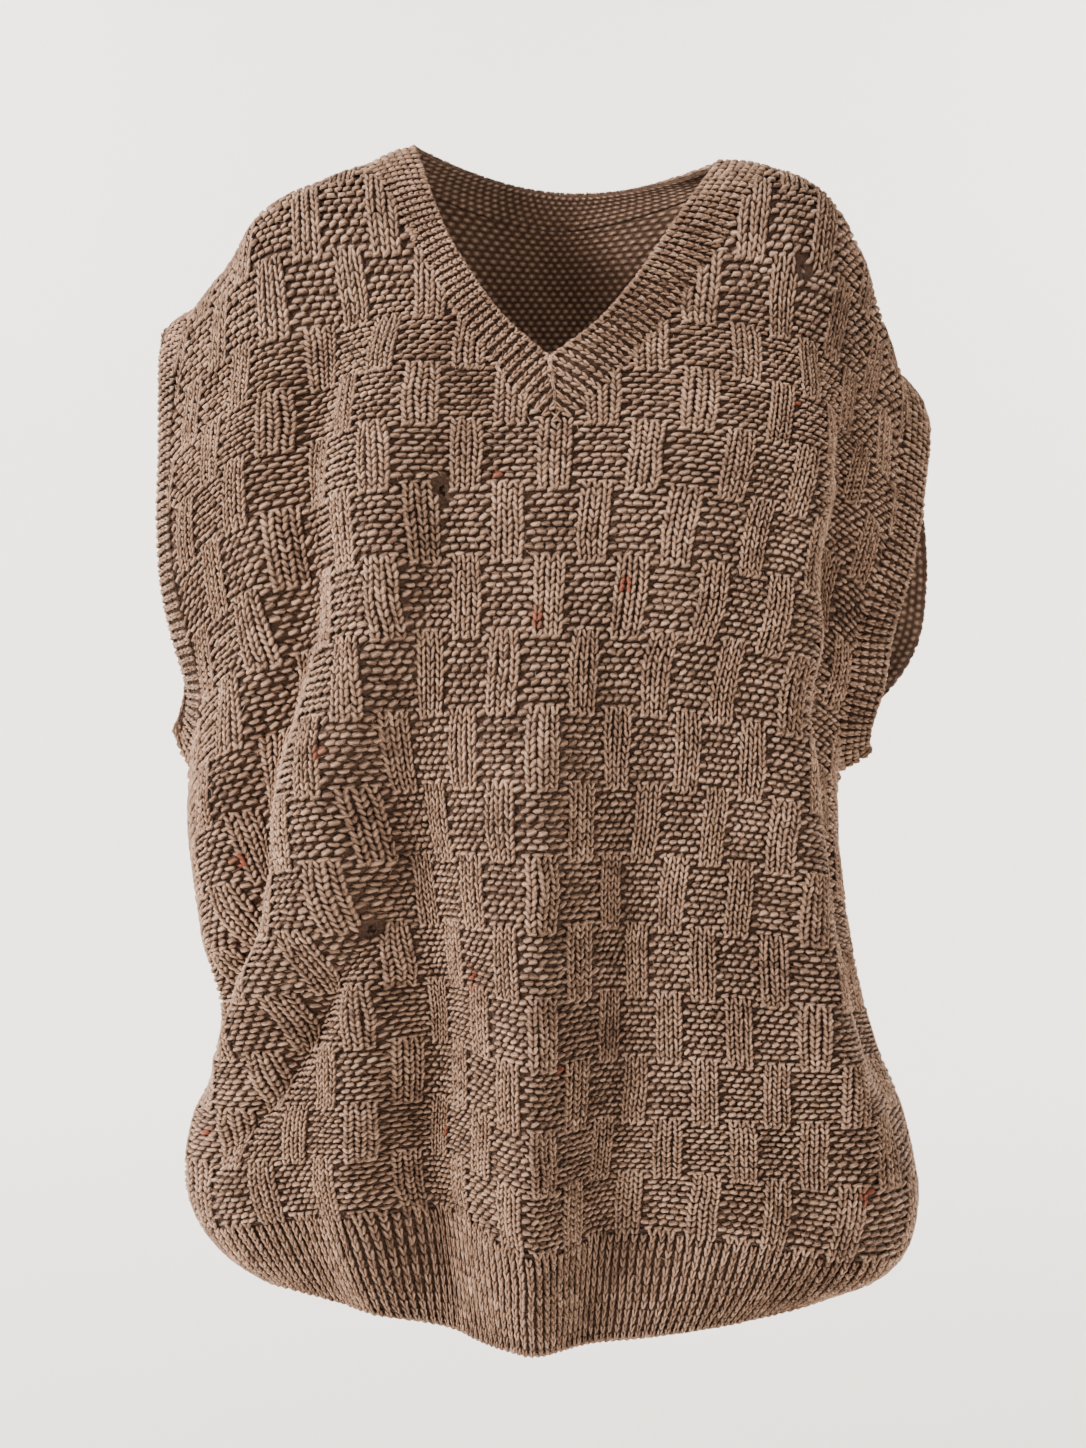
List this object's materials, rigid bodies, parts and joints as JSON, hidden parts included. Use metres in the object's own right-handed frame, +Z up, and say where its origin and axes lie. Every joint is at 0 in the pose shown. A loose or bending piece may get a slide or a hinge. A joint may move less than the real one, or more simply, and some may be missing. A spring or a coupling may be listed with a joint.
{
  "type": "knitted sweater vest",
  "caption": "Chunky basket-weave knitted pullover vest, worn open and hollow, with a V neck, ribbed neckband, ribbed armhole bands and a ribbed hem.",
  "frame": {"origin": "between the two neck points on the shoulders, where the wearer's shoulders hold the vest", "axes": "+Z up, -Y out of the front, +X towards the wearer's left side"},
  "size_m": [0.4922, 0.282, 0.7252],
  "materials": {
    "yarn": "matte heathered wool-blend knit"
  },
  "bodies": {
    "root": {"front": "yarn", "back": "yarn", "hem_rib_front": "yarn", "hem_rib_back": "yarn", "neckband": "yarn", "armhole_band_left": "yarn", "armhole_band_right": "yarn"}
  },
  "joints": []
}
